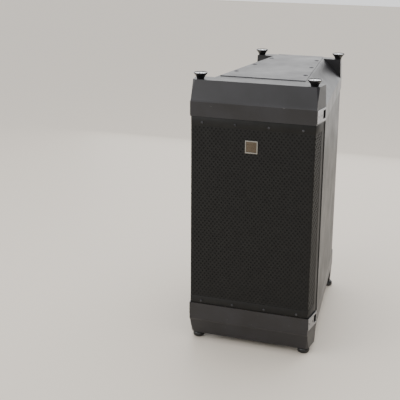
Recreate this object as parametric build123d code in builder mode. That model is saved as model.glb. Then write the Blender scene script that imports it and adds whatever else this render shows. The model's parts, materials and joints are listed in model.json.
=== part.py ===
from build123d import *
from math import cos, radians, sin, sqrt
import os

# A stage loudspeaker with a six-sided plan, moulded end caps and stacking cups.
# Millimetres, +Z up. The origin is on the floor, under the middle of the cabinet,
# and the grille faces -Y.

os.makedirs("parts", exist_ok=True)

# ---------------------------------------------------------------- driving dimensions
HEIGHT = 1060.0  # floor to the rims of the stacking cups
DEPTH = 773.0  # front band to rear band
FRONT_HALF = 237.0  # half width at the front edge
RIDGE_HALF = 250.0  # half width at the ridge, the widest place
REAR_HALF = 180.0  # half width at the rear edge
RIDGE_DEPTH = 96.5  # front edge back to the ridge

FOOT_HEIGHT = 23.0
CUP_HEIGHT = 23.0
TOP_BAND = (904.0, 959.0)  # vertical band of the top cap
BOTTOM_BAND = (92.0, 159.0)  # vertical band of the bottom cap
FRONT_LEAN = 24.0  # how far a cap's fascia leans back from its band
REAR_LEAN = 12.0
SIDE_LEAN = 4.0
LEDGE_RISE = 10.0  # bevelled ledge where the fascia meets the band
LEDGE_SHARE = 0.3  # part of the lean that the ledge takes
CHAMFER_RUN = 76.0  # width of the long bevel along each side of a cap
CORNER_FACET = 9.0  # a cap's front corners are cut by this much at its roof, and by none at its band
REAR_POST = 61.5  # depth of a cap's rear corner posts
CAP_WALL = 5.0
CAP_LIP = 6.0  # thickness of the flange that bolts to the box
LIP_REACH = 30.0
CAP_SCREW_DEPTHS = (-240.0, -60.0, 120.0, 300.0)
CAP_SCREW_INSET = 13.0
CAP_SCREW_GRIP = 30.0
SCREW_RADIUS = 2.5
ROOF_PLATE = 3.0
PLATE_SETBACK = 127.0  # roof plate, behind the front edge
PLATE_SCREW_DEPTHS = (-141.0, 49.0, 240.0)
PLATE_SCREW_INSET = 98.0

REVEAL = 3.0  # grille and front strips sit this far inside the bands
SIDE_REVEAL = 0.3  # side walls sit this far inside the bands
PLY = 18.0
GRILLE_SHEET = 1.5
GRILLE_RETURN = 74.5  # how far the grille wraps round the side
GRILLE_GAP = 0.8  # between the grille and each cap
BACK_RECESS = 43.5  # back panel, in front of the rear edge of the caps
BAFFLE_RECESS = 46.5  # baffle face, behind the front edge of the caps
FOAM = 8.0
RAIL_HEIGHT = 20.0  # wooden rail behind the grille's upper screws
GRILLE_SCREW_X = (-190.5, -63.5, 63.5, 190.5)
GRILLE_SCREW_Z = (170.7, 882.0)
BADGE_Z = 805.0
BADGE_SIZE = 48.0
BADGE_RIM = 4.0
BRACE_Y = 60.0

HANDLE_Z = (300.0, 790.0)
HANDLE_DISH = (180.0, 100.0, 50.0)  # width, height and depth of the recess
HANDLE_SHEET = 2.0
HANDLE_FLANGE = 10.0
GRIP_RADIUS = 9.0
INPUT_Z = 560.0
INPUT_PLATE = (180.0, 110.0)
INPUT_OPENING = (140.0, 70.0)
INPUT_SHEET = 3.0
SOCKET_X = (-35.0, 35.0)
SOCKET_RADIUS = 9.5

CUP_FRONT = (214.3, -336.1)
CUP_REAR = (168.0, 345.9)
CUP_RIM_RADIUS = 26.5
CUP_BASE_RADIUS = 14.0
CUP_FLOOR = 20.0  # floor of the cup's shallow recess, above its base
FOOT_RADIUS = 23.5
STUD_RADIUS = 5.0
FIT = 0.1  # radial clearance of a plain hole round its screw

WOOFER_Z = 375.0
WOOFER_RADIUS = 193.0  # 15-inch frame
WOOFER_CUTOUT = 177.0
WOOFER_SCREW_CIRCLE = 185.0
HORN_Z = 755.0
HORN_MOUTH = (372.0, 190.0)
HORN_FLANGE = (400.0, 210.0)
HORN_LENGTH = 190.0
HORN_WALL = 4.0
HORN_SCREW_X = 193.0
HORN_SCREW_Z = 60.0
DIAPHRAGM_RADIUS = 38.0
PORT_Z = 604.0
PORT_X = 120.0
PORT_RADIUS = 35.0
PORT_LENGTH = 150.0

POCKET_HOLE = (25.0, 31.0)  # rigging pocket: along the side, up
POCKET_DEPTH = 40.0
POCKET_PLATE = (88.0, 49.0)
POCKET_PLATE_SHIFT = -27.5  # middle of the plate, from the middle of its hole
POCKET_WALL = 3.0
POCKET_SETBACK = 75.5  # pocket centre, behind the front edge
POCKET_RISE_TOP = 29.0  # pocket centre above the lower edge of the top band
POCKET_RISE_BOTTOM = 26.0  # pocket centre below the upper edge of the bottom band

# ---------------------------------------------------------------- derived places
FRONT_Y = -DEPTH / 2
REAR_Y = DEPTH / 2
RIDGE_Y = FRONT_Y + RIDGE_DEPTH
REAR_POST_Y = REAR_Y - REAR_POST
ROOF_Z = HEIGHT - CUP_HEIGHT
BOX_LOW = BOTTOM_BAND[1]
BOX_HIGH = TOP_BAND[0]
INSIDE_LOW = BOX_LOW + PLY
INSIDE_HIGH = BOX_HIGH - PLY
BACK_Y = REAR_Y - BACK_RECESS
BAFFLE_Y = FRONT_Y + BAFFLE_RECESS
GRILLE_Y = FRONT_Y + REVEAL
GRILLE_END_Y = FRONT_Y + GRILLE_RETURN
UNDER_GRILLE = REVEAL + GRILLE_SHEET + 0.3  # inset of the wood behind the grille sheet
WOOD_FRONT_Y = FRONT_Y + UNDER_GRILLE
INNER_INSET = UNDER_GRILLE + PLY
PLATE_FRONT_Y = FRONT_Y + PLATE_SETBACK
PLATE_REAR_Y = REAR_Y - 16.0
PLATE_INSET = CHAMFER_RUN + 7.0
CORNERS = {
    "front_left": (-CUP_FRONT[0], CUP_FRONT[1]),
    "front_right": CUP_FRONT,
    "rear_left": (-CUP_REAR[0], CUP_REAR[1]),
    "rear_right": CUP_REAR,
}


# ---------------------------------------------------------------- helpers
def half_width(y, inset=0.0):
    """Half width of the plan at a depth, less an inset from the outline."""
    if y < RIDGE_Y:
        part = (y - FRONT_Y) / (RIDGE_Y - FRONT_Y)
        return FRONT_HALF + (RIDGE_HALF - FRONT_HALF) * part - inset
    part = (y - RIDGE_Y) / (REAR_Y - RIDGE_Y)
    return RIDGE_HALF + (REAR_HALF - RIDGE_HALF) * part - inset


def plan_points(front, rear, inset):
    """Corners of the plan between two depths, anticlockwise."""
    depths = [front] + [RIDGE_Y] * (front < RIDGE_Y < rear) + [rear]
    right = [(half_width(y, inset), y) for y in depths]
    left = [(-x, y) for x, y in reversed(right)]
    return right + left


def plan_face(z, front, rear, inset):
    """Face of the plan at a height."""
    with BuildSketch(Plane.XY.offset(z)) as face:
        with BuildLine():
            Polyline(*plan_points(front, rear, inset), close=True)
        make_face()
    return face.sketch


def plan_prism(low, high, front, rear, inset, mode=Mode.ADD):
    """Prism whose plan follows the cabinet's outline."""
    extrude(plan_face(low, front, rear, inset), amount=high - low, mode=mode)


def block(low, high, mode=Mode.ADD):
    """Box between two opposite corners."""
    size = [b - a for a, b in zip(low, high)]
    middle = [(a + b) / 2 for a, b in zip(low, high)]
    with Locations(tuple(middle)):
        Box(*size, mode=mode)


def turned(origin, direction, points, mode=Mode.ADD):
    """Turn a profile of (radius, distance) points about an axis along Y or Z."""
    normal = (0, 0, 1) if direction[1] else (0, -1, 0)
    flip = -1 if min(direction) < 0 else 1
    points = [(radius, flip * along) for radius, along in points]
    with BuildSketch(Plane(origin=origin, x_dir=(1, 0, 0), z_dir=normal)) as profile:
        with BuildLine():
            Polyline(*points, close=True)
        make_face()
    revolve(profile.sketch, axis=Axis(origin, direction), mode=mode)


def turned_y(x, z, points, mode=Mode.ADD):
    """Turned piece about an axis along +Y, with distances behind the baffle's face."""
    turned((x, BAFFLE_Y, z), (0, 1, 0), points, mode)


def screw(origin, direction, length):
    """Pan-head screw whose head stands behind the origin, shank along the direction."""
    head = SCREW_RADIUS * 2
    points = [(0, -3), (head - 1.5, -3), (head, -1.5), (head, 0), (SCREW_RADIUS, 0)]
    turned(origin, direction, points + [(SCREW_RADIUS, length), (0, length)])


def ring(inner, outer, start, end):
    """Rectangular profile of a ring, or of a disc when its inner radius is zero."""
    return [(inner, start), (outer, start), (outer, end), (inner, end)]


def turned_dome(x, z, radius, rim, crown, sheet):
    """Thin dome about an axis along +Y, between the depths of its rim and its crown."""
    origin = (x, BAFFLE_Y, z)
    way = 1 if rim > crown else -1
    rise = abs(rim - crown)
    curve = (radius**2 + rise**2) / (2 * rise)
    half_way = (radius / 2, crown + way * (curve - sqrt(curve**2 - (radius / 2) ** 2)))
    with BuildSketch(Plane(origin=origin, x_dir=(1, 0, 0), z_dir=(0, 0, 1))) as profile:
        with BuildLine():
            front = ThreePointArc((0, crown), half_way, (radius, rim))
            edge = Line(front @ 1, (radius, rim + sheet))
            back = ThreePointArc(edge @ 1, (half_way[0], half_way[1] + sheet), (0, crown + sheet))
            Line(back @ 1, front @ 0)
        make_face()
    revolve(profile.sketch, axis=Axis(origin, (0, 1, 0)))


def drill_y(places, y, depth):
    """Drill screw holes along +Y at (x, z) places, from a depth into the cabinet."""
    for x, z in places:
        turned((x, y, z), (0, 1, 0), ring(0, SCREW_RADIUS + FIT, -0.5, depth + 0.5), Mode.SUBTRACT)


def finish(piece, name):
    """Label a finished piece and write it."""
    piece.part.label = name
    export_step(piece.part, f"parts/{name}.step")


PLATE_SCREWS = [
    (side * half_width(y, PLATE_SCREW_INSET), y) for side in (-1, 1) for y in PLATE_SCREW_DEPTHS
]
CAP_SCREWS = [
    (side * half_width(y, CAP_SCREW_INSET), y) for side in (-1, 1) for y in CAP_SCREW_DEPTHS
]


# ---------------------------------------------------------------- end caps
def cap_core(band, slope, wall):
    """Solid end cap standing on its mouth at z = 0, drawn in by a wall."""
    roof = band + slope - wall
    with BuildPart() as core:
        plan_prism(0, band, FRONT_Y + wall, REAR_Y - wall, wall)
        faces = []
        for z, lean in ((band, 0), (band + LEDGE_RISE, LEDGE_SHARE), (roof, 1)):
            front = FRONT_Y + wall + FRONT_LEAN * lean
            rear = REAR_Y - wall - REAR_LEAN * lean
            faces.append(plan_face(z, front, rear, wall + SIDE_LEAN * lean))
        loft(faces, ruled=True)
        for side in (-1, 1):
            ends = []
            for y in (RIDGE_Y - wall, REAR_POST_Y + wall):
                edge = half_width(y, 1.4 * wall)
                rise = slope / CHAMFER_RUN
                with BuildSketch(Plane.XZ.offset(-y)) as end:
                    with BuildLine():
                        Polyline(
                            (side * (edge + 10), band - 10 * rise),
                            (side * (edge - CHAMFER_RUN - 10), band + slope + 10 * rise),
                            (side * (edge + 60), band + slope + 10 * rise),
                            (side * (edge + 60), band - 10 * rise),
                            close=True,
                        )
                    make_face()
                ends.append(end.sketch)
            loft(ends, ruled=True, mode=Mode.SUBTRACT)
            cuts = []
            for z, lean in ((band, 0.02), (roof + 1, 1.02)):
                cut = CORNER_FACET * lean
                y = FRONT_Y + wall + FRONT_LEAN * lean
                x = half_width(y, wall + SIDE_LEAN * lean)
                with BuildSketch(Plane.XY.offset(z)) as outside:
                    with BuildLine():
                        Polyline(
                            (side * (x - cut), y),
                            (side * (x - cut), y - 20),
                            (side * (x + 20), y - 20),
                            (side * (x + 20), y + cut),
                            (side * x, y + cut),
                            close=True,
                        )
                    make_face()
                cuts.append(outside.sketch)
            loft(cuts, ruled=True, mode=Mode.SUBTRACT)
    return core.part


def pocket_plane(side, z, push=0.0):
    """Plane on the flared side at a rigging pocket, facing outwards."""
    y = FRONT_Y + POCKET_SETBACK
    run = Vector(side * (RIDGE_HALF - FRONT_HALF), RIDGE_DEPTH, 0).normalized()
    out = Vector(side * run.Y, -side * run.X, 0)
    origin = Vector(side * half_width(y), y, z) + out * push
    return Plane(origin=origin, x_dir=run, z_dir=out)


def cap_shell(band, slope, pocket_rise):
    """Hollow end cap on its mouth at z = 0, with its lip, stud holes and pocket holes."""
    roof = band + slope
    with BuildPart() as shell:
        add(cap_core(band, slope, 0))
        add(cap_core(band, slope, CAP_WALL), mode=Mode.SUBTRACT)
        plan_prism(0, CAP_LIP, FRONT_Y + 1, REAR_Y - 1, 1)
        plan_prism(0, CAP_LIP, FRONT_Y + LIP_REACH, REAR_Y - LIP_REACH, LIP_REACH, Mode.SUBTRACT)
        with Locations(*[(x, y, roof) for x, y in CORNERS.values()]):
            Cylinder(STUD_RADIUS + FIT, 4 * CAP_WALL, mode=Mode.SUBTRACT)
        with Locations(*[(x, y, roof) for x, y in PLATE_SCREWS]):
            Cylinder(SCREW_RADIUS + FIT, 4 * CAP_WALL, mode=Mode.SUBTRACT)
        with Locations(*[(x, y, CAP_LIP / 2) for x, y in CAP_SCREWS]):
            Cylinder(SCREW_RADIUS + FIT, 2 * CAP_LIP, mode=Mode.SUBTRACT)
        for side in (-1, 1):
            with BuildSketch(pocket_plane(side, pocket_rise, 5)) as window:
                Rectangle(*[size + 2 * POCKET_WALL + 2 * FIT for size in POCKET_HOLE])
            extrude(window.sketch, amount=-25, mode=Mode.SUBTRACT)
    return shell.part


top_shell = cap_shell(TOP_BAND[1] - TOP_BAND[0], ROOF_Z - TOP_BAND[1], POCKET_RISE_TOP)
bottom_shell = cap_shell(
    BOTTOM_BAND[1] - BOTTOM_BAND[0], BOTTOM_BAND[0] - FOOT_HEIGHT, POCKET_RISE_BOTTOM
)

with BuildPart() as top_cap:
    add(top_shell.moved(Location((0, 0, BOX_HIGH))))
finish(top_cap, "top_cap")

with BuildPart() as bottom_cap:
    add(bottom_shell.mirror(Plane.XY).moved(Location((0, 0, BOX_LOW))))
finish(bottom_cap, "bottom_cap")

PLATE_LEVELS = {"roof_plate": (ROOF_Z, 1), "base_plate": (FOOT_HEIGHT, -1)}
for plate_name, (level, way) in PLATE_LEVELS.items():
    with BuildPart() as plate:
        low, high = sorted((level, level + way * ROOF_PLATE))
        plan_prism(low, high, PLATE_FRONT_Y, PLATE_REAR_Y, PLATE_INSET)
        chamfer(plate.faces().sort_by(Axis.Z)[-1 if way > 0 else 0].edges(), 1.5)
        for x, y in PLATE_SCREWS:
            turned(
                (x, y, level + way * ROOF_PLATE),
                (0, 0, 1),
                [
                    (0, way),
                    (5.5, way),
                    (5.5, 0),
                    (SCREW_RADIUS + FIT, -way * 2.9),
                    (SCREW_RADIUS + FIT, -way * 4),
                    (0, -way * 4),
                ],
                Mode.SUBTRACT,
            )
    finish(plate, plate_name)

with BuildPart() as plate_screws:
    for level, way in PLATE_LEVELS.values():
        for x, y in PLATE_SCREWS:
            top = level + way * (ROOF_PLATE - 0.2)
            shank = SCREW_RADIUS
            points = [(0, 0), (5.1, 0), (shank, -way * 2.7), (shank, -way * 12), (0, -way * 12)]
            turned((x, y, top), (0, 0, 1), points)
finish(plate_screws, "plate_screws")

# ---------------------------------------------------------------- stacking cups and feet
for corner, (x, y) in CORNERS.items():
    with BuildPart() as cup:
        turned(
            (x, y, ROOF_Z),
            (0, 0, 1),
            [
                (STUD_RADIUS + FIT, 0),
                (CUP_BASE_RADIUS, 0),
                (CUP_BASE_RADIUS + 1.5, 6),
                (CUP_RIM_RADIUS - 0.8, 20),
                (CUP_RIM_RADIUS, 21.5),
                (CUP_RIM_RADIUS - 0.6, CUP_HEIGHT),
                (CUP_RIM_RADIUS - 2.5, CUP_HEIGHT),
                (CUP_RIM_RADIUS - 3.5, CUP_FLOOR),
                (STUD_RADIUS + FIT, CUP_FLOOR),
            ],
        )
    finish(cup, f"cup_{corner}")

    with BuildPart() as foot:
        turned(
            (x, y, 0),
            (0, 0, 1),
            [
                (7.5, 0),
                (FOOT_RADIUS - 5, 0),
                (FOOT_RADIUS - 1.5, 2),
                (FOOT_RADIUS, 6),
                (FOOT_RADIUS - 0.5, 15),
                (FOOT_RADIUS - 4, 20),
                (FOOT_RADIUS - 8, FOOT_HEIGHT),
                (STUD_RADIUS + FIT, FOOT_HEIGHT),
                (STUD_RADIUS + FIT, 9),
                (7.5, 9),
            ],
        )
    finish(foot, f"foot_{corner}")

with BuildPart() as cup_dishes:
    for x, y in CORNERS.values():
        dish = ring(STUD_RADIUS + FIT, CUP_RIM_RADIUS - 3.5, CUP_FLOOR, CUP_FLOOR + 1)
        turned((x, y, ROOF_Z), (0, 0, 1), dish)
finish(cup_dishes, "cup_dishes")

with BuildPart() as cup_bolts:
    for x, y in CORNERS.values():
        head = CUP_FLOOR + 1
        points = [(0, -14), (STUD_RADIUS, -14), (STUD_RADIUS, head), (7.5, head), (6, 22.6), (0, 22.6)]
        turned((x, y, ROOF_Z), (0, 0, 1), points)
finish(cup_bolts, "cup_bolts")

with BuildPart() as foot_bolts:
    for x, y in CORNERS.values():
        points = [(0, 3), (7.3, 3), (7.3, 9), (STUD_RADIUS, 9), (STUD_RADIUS, 37), (0, 37)]
        turned((x, y, 0), (0, 0, 1), points)
finish(foot_bolts, "foot_bolts")

# ---------------------------------------------------------------- rigging pockets
POCKET_LEVELS = {"top": BOX_HIGH + POCKET_RISE_TOP, "bottom": BOX_LOW - POCKET_RISE_BOTTOM}
for level_name, z in POCKET_LEVELS.items():
    for side_name, side in (("left", -1), ("right", 1)):
        with BuildPart() as pocket:
            with BuildSketch(pocket_plane(side, z, 0.0)) as frame:
                with Locations((POCKET_PLATE_SHIFT, 0)):
                    RectangleRounded(*POCKET_PLATE, 3)
            extrude(frame.sketch, amount=2)
            with BuildSketch(pocket_plane(side, z, 0.0)) as sleeve:
                Rectangle(*[size + 2 * POCKET_WALL for size in POCKET_HOLE])
            extrude(sleeve.sketch, amount=-POCKET_DEPTH - POCKET_WALL)
            with BuildSketch(pocket_plane(side, z, 3)) as hole:
                Rectangle(*POCKET_HOLE)
            extrude(hole.sketch, amount=-POCKET_DEPTH - 3, mode=Mode.SUBTRACT)
        finish(pocket, f"rigging_pocket_{level_name}_{side_name}")

# ---------------------------------------------------------------- wooden box
for side_name, side in (("left", -1), ("right", 1)):
    outer = [
        (half_width(WOOD_FRONT_Y, UNDER_GRILLE), WOOD_FRONT_Y),
        (half_width(GRILLE_END_Y, UNDER_GRILLE), GRILLE_END_Y + 0.3),
        (half_width(GRILLE_END_Y, REVEAL), GRILLE_END_Y + 0.3),
        (half_width(RIDGE_Y, REVEAL), RIDGE_Y),
        (half_width(RIDGE_Y, SIDE_REVEAL), RIDGE_Y),
        (half_width(BACK_Y, SIDE_REVEAL), BACK_Y),
    ]
    inner = [
        (half_width(BACK_Y, INNER_INSET), BACK_Y),
        (half_width(RIDGE_Y, INNER_INSET), RIDGE_Y),
        (half_width(WOOD_FRONT_Y, INNER_INSET), WOOD_FRONT_Y),
    ]
    with BuildPart() as side_panel:
        with BuildSketch(Plane.XY.offset(BOX_LOW)):
            with BuildLine():
                Polyline(*[(side * x, y) for x, y in outer + inner], close=True)
            make_face()
        extrude(amount=BOX_HIGH - BOX_LOW)
        places = [(x, y, z) for x, y in CAP_SCREWS if x * side > 0 for z in (BOX_LOW, BOX_HIGH)]
        with Locations(*places):
            Cylinder(SCREW_RADIUS + FIT, 2 * CAP_SCREW_GRIP, mode=Mode.SUBTRACT)
    finish(side_panel, f"side_panel_{side_name}")

with BuildPart() as top_panel:
    plan_prism(INSIDE_HIGH, BOX_HIGH, WOOD_FRONT_Y, BACK_Y - PLY, INNER_INSET)
finish(top_panel, "top_panel")

with BuildPart() as bottom_panel:
    plan_prism(BOX_LOW, INSIDE_LOW, WOOD_FRONT_Y, BACK_Y - PLY, INNER_INSET)
    drill_y([(x, GRILLE_SCREW_Z[0]) for x in GRILLE_SCREW_X], WOOD_FRONT_Y, 16)
finish(bottom_panel, "bottom_panel")

with BuildPart() as grille_rail:
    plan_prism(INSIDE_HIGH - RAIL_HEIGHT, INSIDE_HIGH, WOOD_FRONT_Y, BAFFLE_Y, INNER_INSET)
    drill_y([(x, GRILLE_SCREW_Z[1]) for x in GRILLE_SCREW_X], WOOD_FRONT_Y, 16)
finish(grille_rail, "grille_rail")

with BuildPart() as window_brace:
    plan_prism(INSIDE_LOW, INSIDE_HIGH, BRACE_Y, BRACE_Y + PLY, INNER_INSET)
    for low, high in ((215, 505), (560, 850)):
        block((-130, BRACE_Y - 1, low), (130, BRACE_Y + PLY + 1, high), Mode.SUBTRACT)
finish(window_brace, "window_brace")

WOOFER_SCREWS = [
    (WOOFER_SCREW_CIRCLE * cos(radians(a)), WOOFER_Z + WOOFER_SCREW_CIRCLE * sin(radians(a)))
    for a in range(22, 360, 45)
]
HORN_SCREWS = [
    (x, HORN_Z + z) for x in (-HORN_SCREW_X, HORN_SCREW_X) for z in (-HORN_SCREW_Z, HORN_SCREW_Z)
]

with BuildPart() as baffle:
    plan_prism(INSIDE_LOW, INSIDE_HIGH, BAFFLE_Y, BAFFLE_Y + PLY, INNER_INSET)
    cut = PLY + 1
    turned_y(0, WOOFER_Z, ring(0, WOOFER_CUTOUT + 1, -1, cut), Mode.SUBTRACT)
    for x in (-PORT_X, PORT_X):
        turned_y(x, PORT_Z, ring(0, PORT_RADIUS + 3 + FIT, -1, cut), Mode.SUBTRACT)
    wide, tall = [size / 2 + HORN_WALL + 1 for size in HORN_MOUTH]
    block((-wide, BAFFLE_Y - 1, HORN_Z - tall), (wide, BAFFLE_Y + cut, HORN_Z + tall), Mode.SUBTRACT)
    drill_y(WOOFER_SCREWS + HORN_SCREWS, BAFFLE_Y, PLY)
finish(baffle, "baffle")

HANDLE_SCREWS = [
    (x, z + dz)
    for z in HANDLE_Z
    for x in (-95.0, 95.0)
    for dz in (-35.0, 35.0)
]
INPUT_SCREWS = [(x, INPUT_Z + dz) for x in (-80.0, 80.0) for dz in (-45.0, 45.0)]

with BuildPart() as back_panel:
    inner_y = BACK_Y - PLY
    plan_prism(BOX_LOW, BOX_HIGH, inner_y, BACK_Y, INNER_INSET)
    for z in HANDLE_Z:
        wide, tall = HANDLE_DISH[0] / 2 + 0.5, HANDLE_DISH[1] / 2 + 0.5
        block((-wide, inner_y - 1, z - tall), (wide, BACK_Y + 1, z + tall), Mode.SUBTRACT)
    wide, tall = [size / 2 for size in INPUT_OPENING]
    block((-wide, inner_y - 1, INPUT_Z - tall), (wide, BACK_Y + 1, INPUT_Z + tall), Mode.SUBTRACT)
    drill_y(HANDLE_SCREWS + INPUT_SCREWS, inner_y, PLY)
finish(back_panel, "back_panel")

with BuildPart() as cap_screws:
    for x, y in CAP_SCREWS:
        screw((x, y, BOX_HIGH + CAP_LIP), (0, 0, -1), CAP_LIP + CAP_SCREW_GRIP - 2)
        screw((x, y, BOX_LOW - CAP_LIP), (0, 0, 1), CAP_LIP + CAP_SCREW_GRIP - 2)
finish(cap_screws, "cap_screws")

with BuildPart() as damping_lining:
    plan_prism(190, 870, 85, 320, INNER_INSET)
    plan_prism(190, 870, 85, 320, INNER_INSET + 15, Mode.SUBTRACT)
finish(damping_lining, "damping_lining")

# ---------------------------------------------------------------- grille and badge
GRILLE_LOW = BOX_LOW + GRILLE_GAP
GRILLE_HIGH = BOX_HIGH - GRILLE_GAP

with BuildPart() as grille:
    plan_prism(GRILLE_LOW, GRILLE_HIGH, GRILLE_Y, GRILLE_END_Y, REVEAL)
    behind = GRILLE_Y + GRILLE_SHEET
    inset = REVEAL + GRILLE_SHEET
    plan_prism(GRILLE_LOW, GRILLE_HIGH, behind, GRILLE_END_Y + 1, inset, Mode.SUBTRACT)
    drill_y([(x, z) for x in GRILLE_SCREW_X for z in GRILLE_SCREW_Z], GRILLE_Y, GRILLE_SHEET)
finish(grille, "grille")

with BuildPart() as grille_foam:
    foam_y = WOOD_FRONT_Y + 0.5
    low, high = INSIDE_LOW + 0.5, INSIDE_HIGH - RAIL_HEIGHT - 0.5
    plan_prism(low, high, foam_y, foam_y + FOAM, INNER_INSET + 0.5)
finish(grille_foam, "grille_foam")

with BuildPart() as grille_screws:
    for x in GRILLE_SCREW_X:
        for z in GRILLE_SCREW_Z:
            screw((x, GRILLE_Y, z), (0, 1, 0), 14)
finish(grille_screws, "grille_screws")

with BuildPart() as badge_frame:
    half = BADGE_SIZE / 2
    block((-half, FRONT_Y, BADGE_Z - half), (half, GRILLE_Y, BADGE_Z + half))
    inner = half - BADGE_RIM
    block((-inner, FRONT_Y, BADGE_Z - inner), (inner, GRILLE_Y, BADGE_Z + inner), Mode.SUBTRACT)
finish(badge_frame, "badge_frame")

with BuildPart() as badge_plate:
    block((-inner, GRILLE_Y - 2, BADGE_Z - inner), (inner, GRILLE_Y, BADGE_Z + inner))
finish(badge_plate, "badge_plate")

# ---------------------------------------------------------------- woofer
CONE_OUTER = 152.0
COIL_RADIUS = 50.8
FORMER_RADIUS = COIL_RADIUS + 0.8
GAP_DEPTH = 96.0  # front of the magnet's top plate, behind the baffle's face

with BuildPart() as woofer_basket:
    turned_y(
        0,
        WOOFER_Z,
        [
            (CONE_OUTER + 20, -5),
            (WOOFER_RADIUS, -5),
            (WOOFER_RADIUS, 0),
            (WOOFER_CUTOUT - 0.5, 0),
            (WOOFER_CUTOUT - 0.5, 4),
            (97, 86),
            (97, GAP_DEPTH),
            (84, GAP_DEPTH),
            (84, 80),
            (91, 80),
            (CONE_OUTER + 20, 0),
        ],
    )
    for step in range(6):
        angle = radians(60 * step)
        out = Vector(cos(angle), 0, sin(angle))
        middle = Vector(0, BAFFLE_Y + 50, WOOFER_Z) + out * 135
        with Locations(Plane(origin=middle, x_dir=out, z_dir=(0, 1, 0))):
            Box(70, 90, 46, mode=Mode.SUBTRACT)
    drill_y(WOOFER_SCREWS, BAFFLE_Y - 5, 5)
finish(woofer_basket, "woofer_basket")

with BuildPart() as magnet_top_plate:
    turned_y(0, WOOFER_Z, ring(FORMER_RADIUS + 1.6, 97, GAP_DEPTH, GAP_DEPTH + 10))
finish(magnet_top_plate, "magnet_top_plate")

with BuildPart() as magnet_ring:
    turned_y(0, WOOFER_Z, ring(62, 105, GAP_DEPTH + 10, GAP_DEPTH + 32))
finish(magnet_ring, "magnet_ring")

with BuildPart() as magnet_yoke:
    turned_y(0, WOOFER_Z, ring(0, 100, GAP_DEPTH + 32, GAP_DEPTH + 44))
    turned_y(0, WOOFER_Z, ring(0, COIL_RADIUS - 1, GAP_DEPTH - 2, GAP_DEPTH + 32))
finish(magnet_yoke, "magnet_yoke")

with BuildPart() as woofer_cone:
    turned_y(0, WOOFER_Z, [(FORMER_RADIUS, 58), (CONE_OUTER, -2), (CONE_OUTER, 0), (FORMER_RADIUS, 60)])
finish(woofer_cone, "woofer_cone")

with BuildPart() as dust_cap:
    turned_dome(0, WOOFER_Z, 62, 50.5, 36, 1)
finish(dust_cap, "dust_cap")

with BuildPart() as voice_coil:
    turned_y(0, WOOFER_Z, ring(COIL_RADIUS, FORMER_RADIUS, 56, GAP_DEPTH + 22))
    turned_y(0, WOOFER_Z, ring(COIL_RADIUS, FORMER_RADIUS + 1, GAP_DEPTH + 2, GAP_DEPTH + 20))
finish(voice_coil, "voice_coil")

with BuildPart() as woofer_surround:
    inner, outer = CONE_OUTER, CONE_OUTER + 20
    middle = (inner + outer) / 2
    with BuildSketch(Plane(origin=(0, BAFFLE_Y, WOOFER_Z), x_dir=(1, 0, 0), z_dir=(0, 0, 1))) as roll:
        with BuildLine():
            front = ThreePointArc((inner, -2), (middle, -11), (outer, -2))
            rim = Line(front @ 1, (outer, -0.5))
            back = ThreePointArc(rim @ 1, (middle, -9.5), (inner, -0.5))
            Line(back @ 1, front @ 0)
        make_face()
    revolve(roll.sketch, axis=Axis((0, BAFFLE_Y, WOOFER_Z), (0, 1, 0)))
finish(woofer_surround, "woofer_surround")

with BuildPart() as woofer_spider:
    turned_y(0, WOOFER_Z, ring(FORMER_RADIUS, 90, 78.6, 79.8))
finish(woofer_spider, "woofer_spider")

# ---------------------------------------------------------------- horn and its driver
with BuildPart() as horn:
    wide, tall = [size / 2 for size in HORN_FLANGE]
    block((-wide, BAFFLE_Y - 5, HORN_Z - tall), (wide, BAFFLE_Y, HORN_Z + tall))
    turned_y(0, HORN_Z, ring(0, 62, HORN_LENGTH - 6, HORN_LENGTH))
    for wall, mode in ((HORN_WALL, Mode.ADD), (0, Mode.SUBTRACT)):
        sections = []
        for depth, size in ((-5.0, HORN_MOUTH), (HORN_LENGTH / 2, (130, 80)), (HORN_LENGTH, (30, 30))):
            y = BAFFLE_Y + depth
            with BuildSketch(Plane(origin=(0, y, HORN_Z), x_dir=(1, 0, 0), z_dir=(0, -1, 0))) as section:
                Rectangle(size[0] + 2 * wall, size[1] + 2 * wall)
            sections.append(section.sketch)
        loft(sections, ruled=True, mode=mode)
    drill_y(HORN_SCREWS, BAFFLE_Y - 5, 5)
finish(horn, "horn")

DRIVER = HORN_LENGTH  # front of the compression driver, behind the baffle's face
with BuildPart() as driver_magnet:
    turned_y(0, HORN_Z, ring(22, 62, DRIVER, DRIVER + 16))
    turned_y(0, HORN_Z, ring(30, 62, DRIVER + 16, DRIVER + 32))
finish(driver_magnet, "driver_magnet")

with BuildPart() as phase_plug:
    plug = [(0, 6), (4, 6), (29, 28), (29.9, 28), (29.9, 31), (0, 31)]
    turned_y(0, HORN_Z, [(r, DRIVER + depth) for r, depth in plug])
finish(phase_plug, "phase_plug")

with BuildPart() as driver_cover:
    turned_y(0, HORN_Z, ring(DIAPHRAGM_RADIUS + 2, 62, DRIVER + 32, DRIVER + 50))
    turned_y(0, HORN_Z, ring(0, 62, DRIVER + 50, DRIVER + 54))
finish(driver_cover, "driver_cover")

with BuildPart() as diaphragm:
    turned_dome(0, HORN_Z, DIAPHRAGM_RADIUS - 6, DRIVER + 34, DRIVER + 44, 0.8)
    turned_y(0, HORN_Z, ring(DIAPHRAGM_RADIUS - 6, DIAPHRAGM_RADIUS, DRIVER + 34, DRIVER + 34.8))
finish(diaphragm, "diaphragm")

with BuildPart() as driver_screws:
    for x, z in WOOFER_SCREWS + HORN_SCREWS:
        screw((x, BAFFLE_Y - 5, z), (0, 1, 0), PLY + 3)
finish(driver_screws, "driver_screws")

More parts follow.
